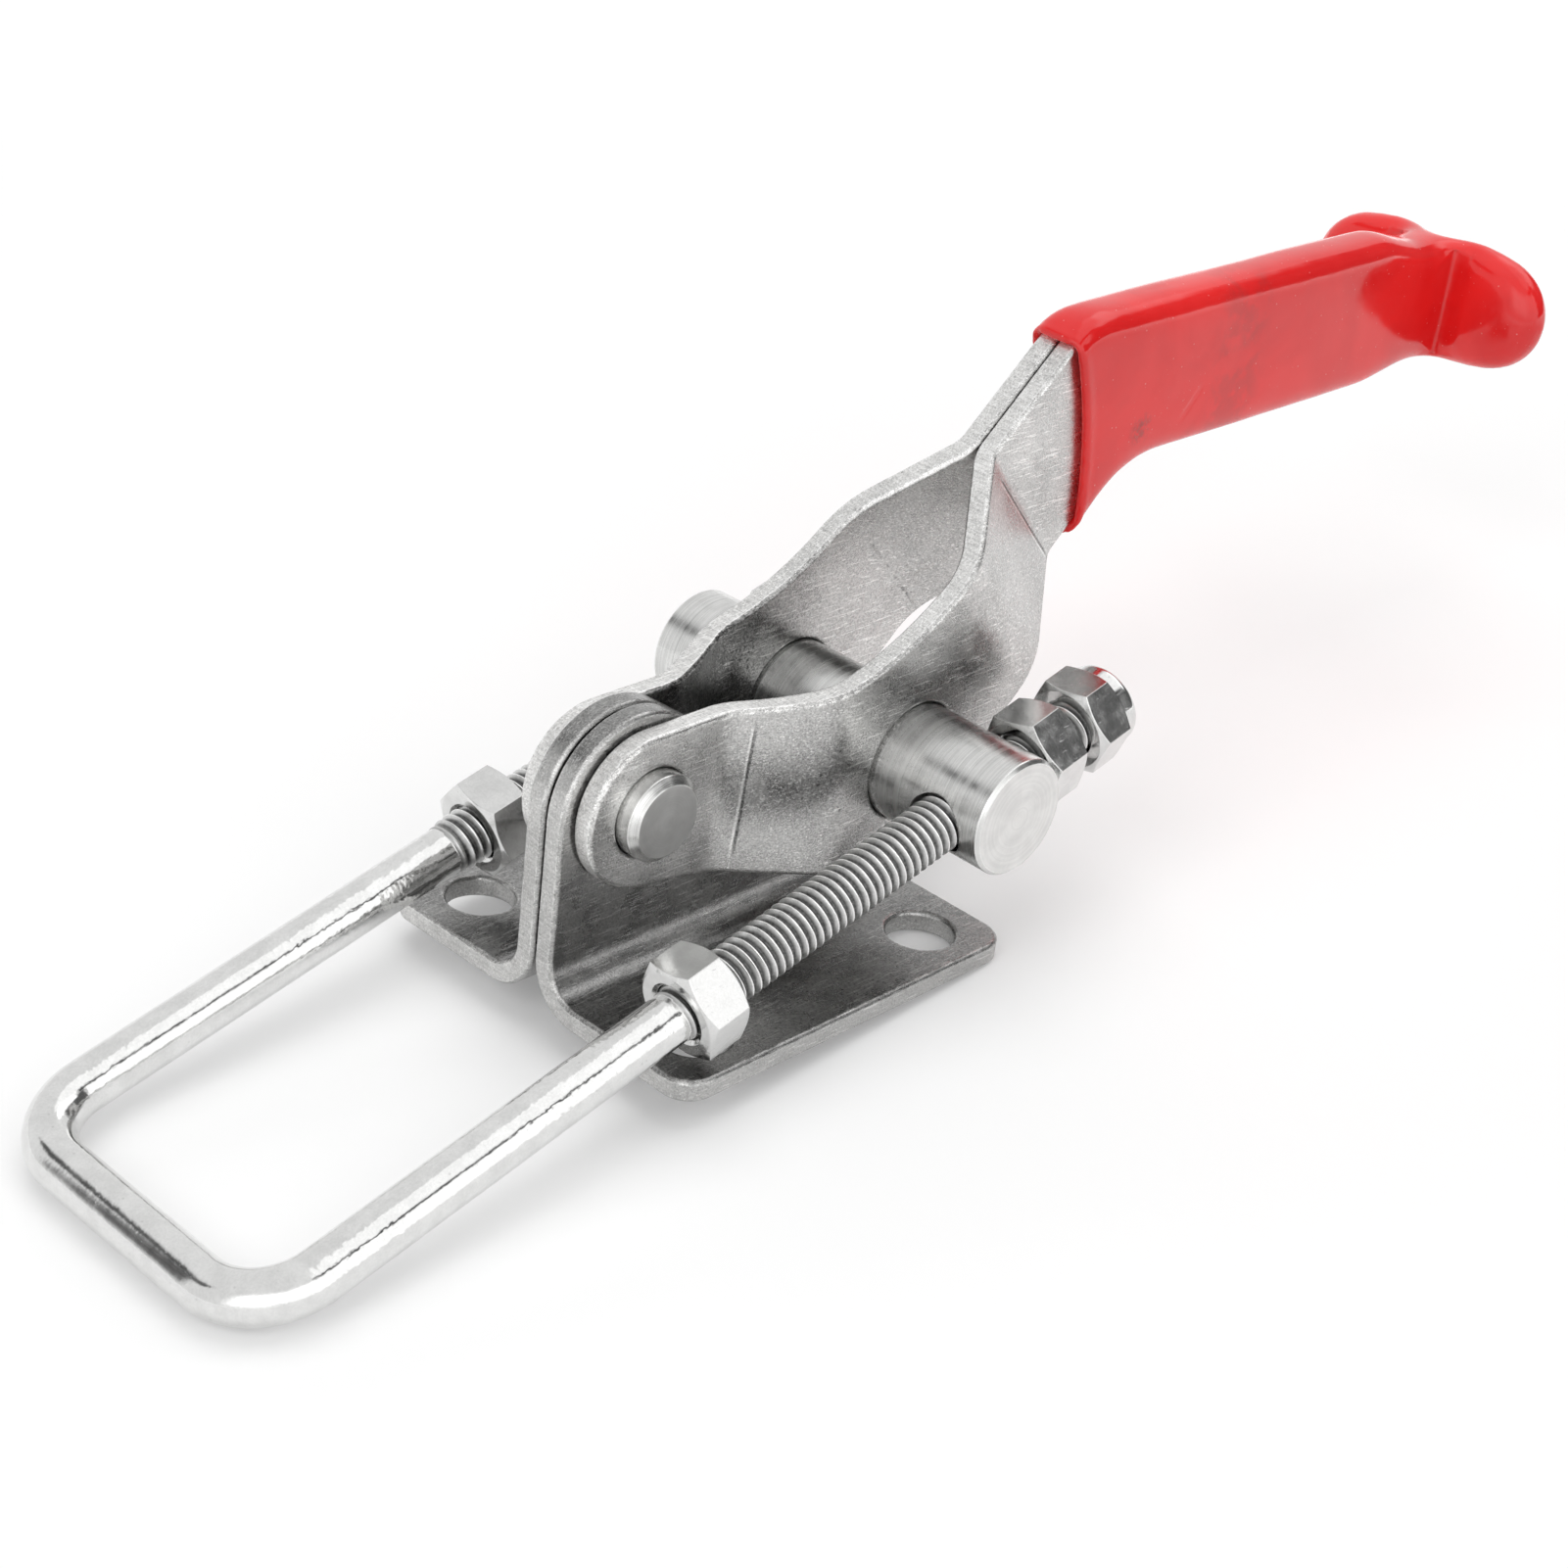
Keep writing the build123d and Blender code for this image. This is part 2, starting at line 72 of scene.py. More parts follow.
def mesh_object(name, bm):
    """Turns a bmesh in metres into a smooth shaded object of the scene."""
    mesh = bpy.data.meshes.new(name)
    bm.to_mesh(mesh)
    bm.free()
    item = bpy.data.objects.new(name, mesh)
    bpy.context.scene.collection.objects.link(item)
    shade_smooth(item)
    return item


def shade_smooth(item):
    for polygon in item.data.polygons:
        polygon.use_smooth = True


def apply_modifiers(item, *modifiers):
    """Adds the modifiers (kind, settings) to a mesh object and keeps their result as its mesh."""
    for kind, settings in modifiers:
        modifier = item.modifiers.new(kind.lower(), kind)
        for key, value in settings.items():
            setattr(modifier, key, value)
    depsgraph = bpy.context.evaluated_depsgraph_get()
    result = bpy.data.meshes.new_from_object(item.evaluated_get(depsgraph))
    item.modifiers.clear()
    old = item.data
    item.data = result
    bpy.data.meshes.remove(old)


def dress(item, *materials):
    """Gives the object these materials. A mesh with none keeps the material numbers of its faces."""
    if item.data.materials:
        item.data.materials.clear()
    for material in materials:
        item.data.materials.append(material)


# ---- Shader helpers ----
class Shader:
    """The node tree of a material, or of the world, written as nested calls."""

    def __init__(self, name, world=None):
        self.material = None if world else bpy.data.materials.new(name)
        holder = world or self.material
        holder.use_nodes = True
        self.tree = holder.node_tree
        self.tree.nodes.clear()
        self.output = self.tree.nodes.new("ShaderNodeOutputWorld" if world else "ShaderNodeOutputMaterial")

    def node(self, kind, inputs=None, **settings):
        """A new node with its settings, and its inputs as {socket: value or other node's socket}."""
        item = self.tree.nodes.new(kind)
        for key, value in settings.items():
            setattr(item, key, value)
        for key, value in (inputs or {}).items():
            if isinstance(value, bpy.types.NodeSocket):
                self.tree.links.new(value, item.inputs[key])
            else:
                item.inputs[key].default_value = value
        return item

    def math(self, operation, *values):
        return self.node("ShaderNodeMath", dict(enumerate(values)), operation=operation).outputs[0]

    def plus(self, first, *others):
        for value in others:
            first = self.math("ADD", first, value)
        return first

    def minus(self, first, *others):
        for value in others:
            first = self.math("SUBTRACT", first, value)
        return first

    def times(self, first, *others):
        for value in others:
            first = self.math("MULTIPLY", first, value)
        return first

    def size(self, value):
        """The value without its sign."""
        return self.math("ABSOLUTE", value)

    def diagonal(self, width, height):
        """Distance that is this wide and this high."""
        return self.math("SQRT", self.plus(self.times(width, width), self.times(height, height)))

    def ramp(self, value, low, high, out_low=0.0, out_high=1.0):
        """Smooth step of value from low to high."""
        limits = {"From Min": low, "From Max": high, "To Min": out_low, "To Max": out_high}
        item = self.node("ShaderNodeMapRange", {"Value": value, **limits}, interpolation_type="SMOOTHSTEP")
        return item.outputs["Result"]

    def spread(self, cloud, low, high):
        """A noise, most of which lies between 0.3 and 0.7, spread from low to high."""
        return self.ramp(cloud, 0.3, 0.7, low, high)

    def vary(self, cloud, amount):
        """A noise spread evenly round 0."""
        return self.spread(cloud, -amount, amount)

    def mix(self, factor, low, high):
        """Mix of two colours, which are the sockets 6 and 7 of the node."""
        return self.node("ShaderNodeMix", {0: factor, 6: low, 7: high}, data_type="RGBA").outputs[2]

    def blend(self, factor, low, high):
        """Mix of two numbers, which are the sockets 2 and 3 of the node."""
        return self.node("ShaderNodeMix", {0: factor, 2: low, 3: high}, data_type="FLOAT").outputs[0]

    def near_grey(self, value, red=1.0, blue=0.985):
        """Colour of a metal, with red and blue as shares of its green."""
        channels = {0: self.times(value, red), 1: value, 2: self.times(value, blue)}
        return self.node("ShaderNodeCombineColor", channels).outputs[0]

    def position(self):
        """The piece's own coordinates, in millimetres."""
        metres = self.node("ShaderNodeTexCoord").outputs["Object"]
        return self.node("ShaderNodeVectorMath", {0: metres, 3: 1 / MM}, operation="SCALE").outputs[0]

    def own_normal(self):
        return self.node("ShaderNodeTexCoord").outputs["Normal"]

    def parts(self, vector):
        """The sockets X, Y and Z of a vector."""
        return self.node("ShaderNodeSeparateXYZ", {0: vector}).outputs

    def dot(self, first, second):
        vectors = {0: first, 1: second}
        return self.node("ShaderNodeVectorMath", vectors, operation="DOT_PRODUCT").outputs["Value"]

    def stretched(self, vector, scale, turn=(0, 0, 0)):
        """The vector turned by these degrees and scaled."""
        turn = tuple(math.radians(angle) for angle in turn)
        return self.node("ShaderNodeMapping", {"Vector": vector, "Scale": scale, "Rotation": turn}).outputs[0]

    def noise(self, vector, scale, detail=3.0, roughness=0.5, distortion=0.0):
        """Cloudy noise from 0 to 1, whose scale is in waves per unit of the vector."""
        sockets = {"Vector": vector, "Scale": scale, "Detail": detail}
        sockets.update({"Roughness": roughness, "Distortion": distortion})
        return self.node("ShaderNodeTexNoise", sockets).outputs["Fac"]

    def cells(self, vector, scale):
        """Distance from the nearest of many scattered points."""
        return self.node("ShaderNodeTexVoronoi", {"Vector": vector, "Scale": scale}).outputs["Distance"]

    def strokes(self, place, scale, turn, crest):
        """Thin short scratches: stretched noise cut near its crest, from 0 to 1 between two heights."""
        return self.ramp(self.noise(self.stretched(place, scale, turn), 1.0, detail=1.0), *crest)

    def bump(self, height, strength, distance, normal=None):
        """Normal of a surface whose height varies, over this distance in millimetres."""
        inputs = {"Height": height, "Strength": strength, "Distance": distance * MM}
        if normal is not None:
            inputs["Normal"] = normal
        return self.node("ShaderNodeBump", inputs).outputs[0]

    def soft_edges(self, radius):
        """Normal that rounds the corners by this radius in millimetres."""
        return self.node("ShaderNodeBevel", {"Radius": radius * MM}, samples=6).outputs[0]

    def rim(self, soft):
        """1 where the softened normal leaves the true one, along worn corners."""
        true_normal = self.node("ShaderNodeNewGeometry").outputs["Normal"]
        return self.ramp(self.dot(soft, true_normal), 0.995, 0.93)

    def seen_or_mirrored(self):
        """1 where the camera, a mirroring surface or glass looks on, 0 for light on matt surfaces."""
        rays = self.node("ShaderNodeLightPath").outputs
        mirrored = self.math("MAXIMUM", rays["Is Glossy Ray"], rays["Is Transmission Ray"])
        return self.math("MAXIMUM", rays["Is Camera Ray"], mirrored)

    def surface(self, **sockets):
        """Principled surface. A constant goes straight onto the shader's own socket."""
        named = {key.replace("_", " "): value for key, value in sockets.items()}
        shader = self.node("ShaderNodeBsdfPrincipled", named)
        self.show(shader)

    def show(self, shader):
        self.tree.links.new(shader.outputs[0], self.output.inputs["Surface"])


def grey(value):
    return (value, value, value, 1)


def pressed_line(s, spot, start, end, offset=0.0, width=0.3):
    """1 on a straight tool mark between two points (x, z) of a plate, moved sideways by offset."""
    run = (Vector(end) - Vector(start)).length
    dx, dz = (Vector(end) - Vector(start)) / run
    x = s.minus(spot["X"], start[0])
    z = s.minus(spot["Z"], start[1])
    forward = s.plus(s.times(x, dx), s.times(z, dz))
    sideways = s.minus(s.times(x, dz), s.times(z, dx))
    line = s.ramp(s.size(s.minus(sideways, offset)), width, width * 0.3)
    return s.times(line, s.ramp(forward, -1.0, 2.0), s.ramp(forward, run + 1.0, run - 2.0))


def distance_from(s, spot, x, z):
    """Distance from an axis that runs across the latch."""
    return s.diagonal(s.minus(spot["X"], x), s.minus(spot["Z"], z))


# ---- Stainless sheet of the plates ----
GRAIN = 0.135
CORNER_RADIUS = 0.65
SHEARED_LIFT = 0.2
SHEARED_ROUGHNESS = 0.48
RIM_ROUGHNESS = 0.14
PIT_DARK = 0.16
STROKE_LIGHT = 0.26
# Painted glints, broken up by noise, along the rims, and painted shade along them.
RIM_PAINTED_GLINT, RIM_PAINTED_SHADE = 0.5, 0.12
# Marks of the bending tool: two points (x, z) in millimetres, and how far beside the groove, which is
# painted shade, its flank lies, which is a painted highlight.
OUTSIDE_MARKS = (((-2.5, 36.6), (-3.7, 17.0), 0.4), ((46.0, 59.6), (60.6, 44.0), 0.42))
INSIDE_MARK = ((36.1, 47.4), (48.4, 33.9))
LIT_FLANK_WIDTH = 0.25
# Strength of the outer marks' painted shade and highlight, of the inner mark's painted shade, and depth of the
# outer grooves.
OUTSIDE_MARK_CONTRAST, INSIDE_MARK_SHADE, MARK_DEPTH = 0.3, 0.22, 1.5
# Tones matched to the photo: painted shade round an axle (outer and inner radius, amount), painted
# shade inside the handle towards the pivot (from x to x, amount), and painted light on the base's webs
# and painted shade on its flanges.
TRUNNION_SHADE = (28.0, 9.0, 0.22)
PIVOT_SHADE = (13.0, 7.0, 0.03)
INSIDE_SHADE = (34.0, 10.0, 0.36)
WEB_PAINTED_LIGHT, FLANGE_PAINTED_SHADE = 0.08, 0.2


def axle_shade(s, spot, axis, shade):
    """Amount of painted shade round an axle."""
    outer, inner, amount = shade
    return s.ramp(distance_from(s, spot, axis.x, axis.z), outer, inner, 0.0, amount)


def handle_details(s, normal, tone, height):
    """Adds tool marks to tone and height, painting shade and highlight on them, and paints shade inside and
    round axles.
    """
    place = s.position()
    spot = s.parts(place)
    facing = s.times(s.math("SIGN", spot["Y"]), normal["Y"])
    outside = s.ramp(facing, -0.2, 0.2)
    inside = s.times(s.ramp(facing, -0.1, -0.4), s.ramp(s.size(normal["Y"]), 0.3, 0.6))
    groove = s.plus(*(pressed_line(s, spot, start, end) for start, end, _ in OUTSIDE_MARKS))
    lit = s.plus(*(pressed_line(s, spot, *mark, LIT_FLANK_WIDTH) for mark in OUTSIDE_MARKS))
    worn = s.ramp(s.noise(place, 0.5, detail=2.0), 0.4, 0.6)
    inner_mark_shade = s.times(inside, worn, pressed_line(s, spot, *INSIDE_MARK))
    # Painted highlight on the outer marks' flanks and painted shade in their grooves, and painted shade along
    # the inner mark, broken up by noise.
    tone = s.plus(tone, s.times(outside, s.minus(lit, groove), OUTSIDE_MARK_CONTRAST))
    tone = s.minus(tone, s.times(inner_mark_shade, INSIDE_MARK_SHADE))
    # Painted shade inside the handle towards the pivot, and round both axles on the outside.
    start, end, amount = INSIDE_SHADE
    tone = s.minus(tone, s.times(inside, s.ramp(spot["X"], start, end, 0.0, amount)))
    for axis, shade in ((TRUNNION_AXIS, TRUNNION_SHADE), (PIVOT, PIVOT_SHADE)):
        tone = s.minus(tone, s.times(outside, axle_shade(s, spot, axis, shade)))
    return tone, s.minus(height, s.times(groove, outside, MARK_DEPTH))


def base_details(s, normal, tone, height):
    """Paints light on the base's webs and shade on its flanges, and leaves the height."""
    lying = s.ramp(s.size(normal["Z"]), 0.5, 0.9)
    return s.plus(tone, s.blend(lying, WEB_PAINTED_LIGHT, -FLANGE_PAINTED_SHADE)), height


def pressed_stainless(name, details, base, contrast, folded):
    """Tumbled stainless sheet: speckled satin faces, painted glints and painted shade along the rims, coarse
    pale sheared edges.

    An arm's faces look sideways. A folded plate has faces that look up and down as well. The
    details add what one plate alone has to its tone, painted light and shade among it, and to its height.
    """
    s = Shader(name)
    place = s.position()
    soft = s.soft_edges(CORNER_RADIUS)
    rim = s.rim(soft)
    normal = s.parts(s.own_normal())
    flat = s.size(normal["Y"])
    if folded:
        flat = s.math("MAXIMUM", flat, s.size(normal["Z"]))
    sheared = s.ramp(flat, 0.45, 0.25)

    patches = s.noise(place, 0.045, detail=3.0, roughness=0.55, distortion=0.6)
    cloud = s.noise(place, 0.22, detail=3.0, roughness=0.5)
    grain = s.noise(place, 3.6, detail=2.0, roughness=0.7)
    speckle = s.noise(place, 1.1, detail=2.0, roughness=0.6)
    glint = s.times(rim, s.ramp(s.noise(place, 0.8, detail=3.0, roughness=0.7), 0.42, 0.58))
    pits = s.times(s.ramp(s.cells(place, 0.6), 0.2, 0.08), s.ramp(cloud, 0.45, 0.55))
    strokes = s.math(
        "MAXIMUM",
        s.strokes(place, scale=(0.22, 4.0, 4.0), turn=(0, 35, 20), crest=(0.63, 0.68)),
        s.strokes(place, scale=(0.3, 5.0, 5.0), turn=(0, -60, 5), crest=(0.64, 0.70)),
    )
    shear_lines = s.noise(s.stretched(place, (3.2, 0.35, 3.2)), 1.0, detail=2.0)

    tone = s.plus(s.ramp(patches, 0.35, 0.68, -0.05, 0.04), s.vary(cloud, 0.04))
    tone = s.plus(tone, s.vary(grain, GRAIN), s.vary(speckle, 0.02))
    tone = s.minus(tone, s.times(pits, PIT_DARK))
    tone = s.plus(tone, s.times(strokes, STROKE_LIGHT))
    # Painted glints and painted shade along the rims.
    tone = s.plus(tone, s.minus(s.times(glint, RIM_PAINTED_GLINT), s.times(rim, RIM_PAINTED_SHADE)))
    tone = s.plus(tone, s.times(sheared, s.plus(SHEARED_LIFT, s.vary(shear_lines, 0.08))))
    height = s.minus(s.plus(s.times(grain, 0.6), cloud), s.times(strokes, 0.25))
    tone, height = details(s, normal, tone, height)

    rough = s.plus(s.spread(cloud, 0.21, 0.28), s.times(grain, 0.06))
    rough = s.blend(sheared, rough, SHEARED_ROUGHNESS)
    rough = s.blend(rim, rough, RIM_ROUGHNESS)
    height = s.blend(sheared, height, s.times(shear_lines, 1.5))
    value = s.math("MAXIMUM", s.plus(s.times(tone, contrast), base), 0.04)
    s.surface(
        Base_Color=s.near_grey(value, red=1.006),
        Metallic=1.0,
        Roughness=rough,
        Normal=s.bump(height, strength=0.4, distance=0.1, normal=soft),
    )
    return s.material


# ---- Turned steel of the cross bar and the pin ----
TURNED_TONE = 0.68
TURNED_CORNER = 0.3
TURNED_RIM_PAINTED_GLINT, TURNED_RIM_ROUGHNESS = 0.3, 0.2
END_ROUGHNESS = 0.42
END_CALM = 0.3


def turned_stainless(name, axis, end_painted_light):
    """Turned bar: fine rings round its axis, on the side and, calmer, on the end faces, with painted glints
    along its rims and a painted tone on its end faces: light above 0, shade below.
    """
    s = Shader(name)
    place = s.position()
    spot = s.parts(place)
    radius = distance_from(s, spot, axis.x, axis.z)
    turned_place = s.node("ShaderNodeCombineXYZ", {0: radius, 1: spot["Y"]}).outputs[0]
    fine = s.noise(turned_place, 5.0, detail=2.0, roughness=0.7)
    wide = s.noise(turned_place, 0.8, detail=2.0, roughness=0.6)
    cloud = s.noise(place, 0.3, detail=3.0, roughness=0.6)
    soft = s.soft_edges(TURNED_CORNER)
    rim = s.rim(soft)
    end = s.ramp(s.size(s.parts(s.own_normal())["Y"]), 0.8, 0.95)
    calm = s.blend(end, 1.0, END_CALM)
    rings = s.plus(s.vary(fine, 0.08), s.vary(wide, 0.05))
    value = s.plus(TURNED_TONE, s.times(rings, calm), s.vary(cloud, 0.04))
    # Painted light on the end faces, shade where below 0, and painted glints along the rims.
    value = s.plus(value, s.times(end, end_painted_light), s.times(rim, TURNED_RIM_PAINTED_GLINT))
    rough = s.blend(end, s.spread(wide, 0.2, 0.3), END_ROUGHNESS)
    height = s.times(s.plus(s.times(fine, 0.8), s.times(wide, 0.5)), calm)
    s.surface(
        Base_Color=s.near_grey(value),
        Metallic=1.0,
        Roughness=s.blend(rim, rough, TURNED_RIM_ROUGHNESS),
        Normal=s.bump(height, strength=0.3, distance=0.03, normal=soft),
    )
    return s.material


# ---- Bright steel of the nuts and the U-bolt ----
BRIGHT_CORNER = 0.22
# The rod is crinkled along its legs, and to this share of that on the hook bar, in front of x.
HOOK_BAR_X, HOOK_BAR_BORDER, HOOK_BAR_CRINKLE = -86.0, 4.0, 0.2


def bright_steel(name, base, roughness, waves, crinkles):
    """Bright plated finish with handling marks, and with waves and crinkles on bent rod."""
    s = Shader(name)
    place = s.position()
    soft = s.soft_edges(BRIGHT_CORNER)
    cloud = s.noise(place, 0.35, detail=3.0, roughness=0.6)
    grain = s.noise(place, 3.0, detail=2.0, roughness=0.6)
    strokes = s.strokes(place, scale=(0.3, 3.5, 3.5), turn=(0, -15, 8), crest=(0.69, 0.77))
    spots = s.ramp(s.cells(place, 0.45), 0.12, 0.03)
    value = s.plus(base, s.vary(cloud, 0.04), s.vary(grain, 0.02))
    value = s.minus(value, s.times(spots, 0.1))
    rough = s.plus(s.ramp(cloud, 0.35, 0.75, *roughness), s.times(strokes, 0.15))
    behind_bar = s.minus(s.parts(place)["X"], HOOK_BAR_X)
    crinkle = s.times(
        s.noise(place, 0.5, detail=2.0, roughness=0.6),
        s.ramp(s.noise(place, 0.04, detail=2.0), 0.4, 0.6, 0.3, 1.0),
        s.ramp(behind_bar, -HOOK_BAR_BORDER, HOOK_BAR_BORDER, HOOK_BAR_CRINKLE, 1.0),
    )
    height = s.plus(s.times(cloud, waves), s.times(grain, 0.06), s.times(crinkle, crinkles))
    s.surface(
        Base_Color=s.near_grey(value, blue=0.99),
        Metallic=1.0,
        Roughness=rough,
        Normal=s.bump(height, strength=0.35, distance=0.12, normal=soft),
    )
    return s.material


THREAD_FLANK_TONE, THREAD_VALLEY_SHADE, THREAD_CREST_HIGHLIGHT = 0.62, 0.13, 0.25
# Depths below the crest, in millimetres, from where to where the valley darkens with painted shade and
# the crest brightens with a painted highlight.
VALLEY_DEPTHS = (0.25, 0.72)
CREST_DEPTHS = (0.14, 0.03)


def rolled_thread(name):
    """Satin thread: painted highlight on the crests, grey flanks, painted shade in the valleys."""
    s = Shader(name)
    place = s.position()
    away = s.node("ShaderNodeVectorMath", {0: place, 1: TRUNNION_AXIS}, operation="SUBTRACT").outputs[0]
    rise = s.dot(away, ABOVE_LEG)
    side = s.minus(s.size(s.parts(away)["Y"]), LEG_SPACING / 2)
    radius = s.diagonal(rise, side)
    valley = s.ramp(radius, *(THREAD_RADIUS - depth for depth in VALLEY_DEPTHS))
    crest = s.ramp(radius, *(THREAD_RADIUS - depth for depth in CREST_DEPTHS))
    grain = s.noise(place, 2.5, detail=3.0, roughness=0.6)
    # Painted shade in the valleys and a painted highlight on the crests.
    value = s.blend(valley, THREAD_FLANK_TONE, THREAD_VALLEY_SHADE)
    value = s.plus(value, s.times(crest, THREAD_CREST_HIGHLIGHT), s.vary(grain, 0.05))
    s.surface(
        Base_Color=s.near_grey(value, blue=0.99),
        Metallic=1.0,
        Roughness=s.blend(valley, s.blend(crest, 0.32, 0.2), 0.5),
        Normal=s.bump(grain, strength=0.2, distance=0.05),
    )
    return s.material


# ---- Vinyl and nylon ----
VINYL_REDS = ((0.74, 0.011, 0.012, 1), (0.84, 0.018, 0.018, 1))
DIRT_COLOUR = (0.20, 0.03, 0.03, 1)
DUST_COLOUR = (0.9, 0.42, 0.40, 1)
# Wear on the near side of the grip, in millimetres: a thumb smear across it at this x, a scuff at
# this (x, z), and a crease between two such points.
SMEAR_X, SMEAR_HALF_WIDTHS = 98.8, (8.0, 3.0)
SCUFF, SCUFF_RADII = (76.8, 60.7), (3.4, 0.4)
CREASE, CREASE_WIDTH = ((86.4, 60.0), (90.9, 65.0)), 0.9
NEAR_SIDE = (3.0, -1.0)


def red_vinyl(name):
    """Glossy dipped vinyl with dust specks, a thumb smear, a dark scuff and a small crease."""
    s = Shader(name)
    place = s.position()
    spot = s.parts(place)
    near_side = s.ramp(spot["Y"], *NEAR_SIDE)
    cloud = s.noise(place, 0.06, detail=3.0, roughness=0.55, distortion=0.4)
    fine_dust = s.times(
        s.ramp(s.cells(place, 1.2), 0.11, 0.04),
        s.ramp(s.noise(place, 0.15, detail=2.0), 0.5, 0.62),
    )
    dust = s.math("MAXIMUM", s.ramp(s.cells(place, 0.5), 0.085, 0.03), fine_dust)
    smear = s.times(
        s.ramp(s.size(s.minus(spot["X"], SMEAR_X)), *SMEAR_HALF_WIDTHS),
        s.ramp(s.noise(place, 0.2, detail=3.0, roughness=0.6), 0.4, 0.6),
    )
    scuff = s.times(
        s.ramp(distance_from(s, spot, *SCUFF), *SCUFF_RADII),
        s.ramp(s.noise(place, 0.7, detail=4.0, roughness=0.7), 0.42, 0.62),
    )
    dirt = s.times(s.math("MAXIMUM", s.times(smear, 0.4), scuff), near_side)
    crease = s.times(pressed_line(s, spot, *CREASE, width=CREASE_WIDTH), near_side)

    red = s.mix(s.ramp(cloud, 0.35, 0.65), *VINYL_REDS)
    red = s.mix(s.times(dirt, 0.6), red, DIRT_COLOUR)
    red = s.mix(s.times(dust, 0.5), red, DUST_COLOUR)
    rough = s.plus(s.spread(s.noise(place, 0.5, detail=4.0, roughness=0.6), 0.1, 0.17), s.times(dirt, 0.2))
    height = s.plus(s.noise(place, 0.16, detail=2.0), s.times(dust, 0.06))
    height = s.minus(height, s.times(crease, 0.8))
    s.surface(
        Base_Color=red,
        Roughness=rough,
        Normal=s.bump(height, strength=0.3, distance=0.25),
        IOR=1.52,
        Subsurface_Weight=0.06,
        Subsurface_Radius=(1.0, 0.15, 0.1),
        Subsurface_Scale=1.5 * MM,
    )
    return s.material


def nylon(name):
    """Milky nylon of the lock nuts' inserts."""
    s = Shader(name)
    cloud = s.noise(s.position(), 0.6)
    s.surface(
        Base_Color=s.mix(cloud, (0.78, 0.79, 0.80, 1), grey(0.9)),
        Roughness=s.spread(cloud, 0.35, 0.5),
        Subsurface_Weight=0.2,
        Subsurface_Scale=1.0 * MM,
    )
    return s.material


rod_finish = bright_steel("bright_rod", base=0.74, roughness=(0.1, 0.17), waves=0.8, crinkles=3.3)
thread_finish = rolled_thread("rolled_thread")
vinyl_finish = red_vinyl("red_vinyl")

# A node takes the first finish whose word is in its name.
FINISHES = (
    ("base_plate", pressed_stainless("base_sheet", base_details, base=0.40, contrast=0.65, folded=True)),
    ("handle_plate", pressed_stainless("handle_sheet", handle_details, base=0.56, contrast=1.0, folded=False)),
    ("trunnion_bar", turned_stainless("turned_bar", TRUNNION_AXIS, end_painted_light=0.04)),
    ("pivot_pin", turned_stainless("turned_pin", PIVOT, end_painted_light=-0.16)),
    ("insert", nylon("nylon")),
    ("nut", bright_steel("bright_nut", base=0.70, roughness=(0.1, 0.2), waves=0.6, crinkles=0.1)),
    ("grip", vinyl_finish),
    ("u_bolt", rod_finish),
)
for node_name, node_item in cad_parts.items():
    dress(node_item, next(finish for word, finish in FINISHES if word in node_name))


# ---- U-bolt ----
ROD_SIDES = 48
LEG_STEPS, BEND_STEPS, BAR_STEPS = 60, 24, 28
THREAD_OVERLAP = 1.2
# Waviness of cold bent, polished rod: step outwards, scale of the noise and height, in millimetres.
# The sunk radius keeps the crests of the waves inside the plain rod.
ROD_WAVES = ((3, 0.13, 0.022), (5, 0.45, 0.01))
ROD_SUNK = 0.03

THREAD_SIDES = 56
THREAD_CHAMFER = 0.6
THREAD_CORE = 2.6
RUN_OUT_TURNS = 1.6
RUN_OUT_LIFT = 0.02
THREAD_SUNK = 0.3
THREAD_FORM = (  # share of the pitch, depth below the crest in millimetres
    (0.0, 0.05), (0.04, 0.0), (0.10, 0.0), (0.14, 0.05),
    (0.27, 0.37), (0.41, 0.70), (0.50, 0.79), (0.64, 0.79), (0.73, 0.70), (0.87, 0.37),
)


def on_leg(s, y):
    """Point at the distance s behind the cross bar's axis along the legs, and y across them."""
    return TRUNNION_AXIS + ALONG_LEG * s + Vector((0, y, 0))


def loop_line():
    """Centre line of the bent rod, from the left leg to the right: (point, direction) at close steps."""
    half, bend = LEG_SPACING / 2, UBOLT_BEND_RADIUS
    corner = bend - UBOLT_REACH
    left_end, right_end = (THREAD_OVERLAP - THREAD_FRONT[side] for side in ("left", "right"))
    line = []

    def put(s, y, ds, dy):
        line.append((on_leg(s, y), (ALONG_LEG * ds + Vector((0, dy, 0))).normalized()))

    for i in range(LEG_STEPS):
        put(left_end + (corner - left_end) * i / LEG_STEPS, -half, -1, 0)
    for i in range(BEND_STEPS):
        a = math.pi / 2 * i / BEND_STEPS
        put(corner - bend * math.sin(a), bend - half - bend * math.cos(a), -math.cos(a), math.sin(a))
    for i in range(BAR_STEPS):
        put(-UBOLT_REACH, (LEG_SPACING - 2 * bend) * (i / BAR_STEPS - 0.5), 0, 1)
    for i in range(BEND_STEPS):
        a = math.pi / 2 * i / BEND_STEPS
        put(corner - bend * math.cos(a), half - bend + bend * math.sin(a), math.sin(a), math.cos(a))
    for i in range(LEG_STEPS + 1):
        put(corner + (right_end - corner) * i / LEG_STEPS, half, 1, 0)
    return line


def close_end(bm, ring, point):
    """Fan of triangles from a ring to its middle."""
    centre = bm.verts.new(point)
    for k, vertex in enumerate(ring):
        bm.faces.new((vertex, ring[(k + 1) % len(ring)], centre))


